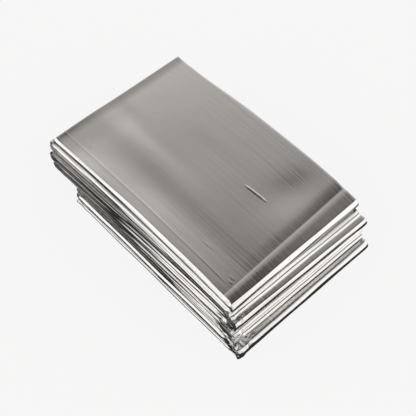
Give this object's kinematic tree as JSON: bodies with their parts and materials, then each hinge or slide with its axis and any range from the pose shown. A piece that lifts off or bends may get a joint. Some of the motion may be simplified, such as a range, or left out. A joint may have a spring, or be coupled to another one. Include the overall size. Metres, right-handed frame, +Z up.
{
  "type": "folded emergency foil blanket",
  "caption": "Emergency blanket of thin silver metallised film, folded into a long flat packet of leaves laid back and forth, with stepped rounded folds at one end.",
  "frame": {"origin": "middle of the underside, at the centre of the packet's length and width", "axes": "+X along the leaves towards the end with the three stepped folds, +Y across them, +Z up from the surface it lies on"},
  "size_m": [0.1332, 0.085, 0.0256],
  "materials": {
    "metallised_film": "bright metallised film, mirror-like with fine creases"
  },
  "bodies": {
    "root": {"foil_blanket": "metallised_film"}
  },
  "joints": []
}
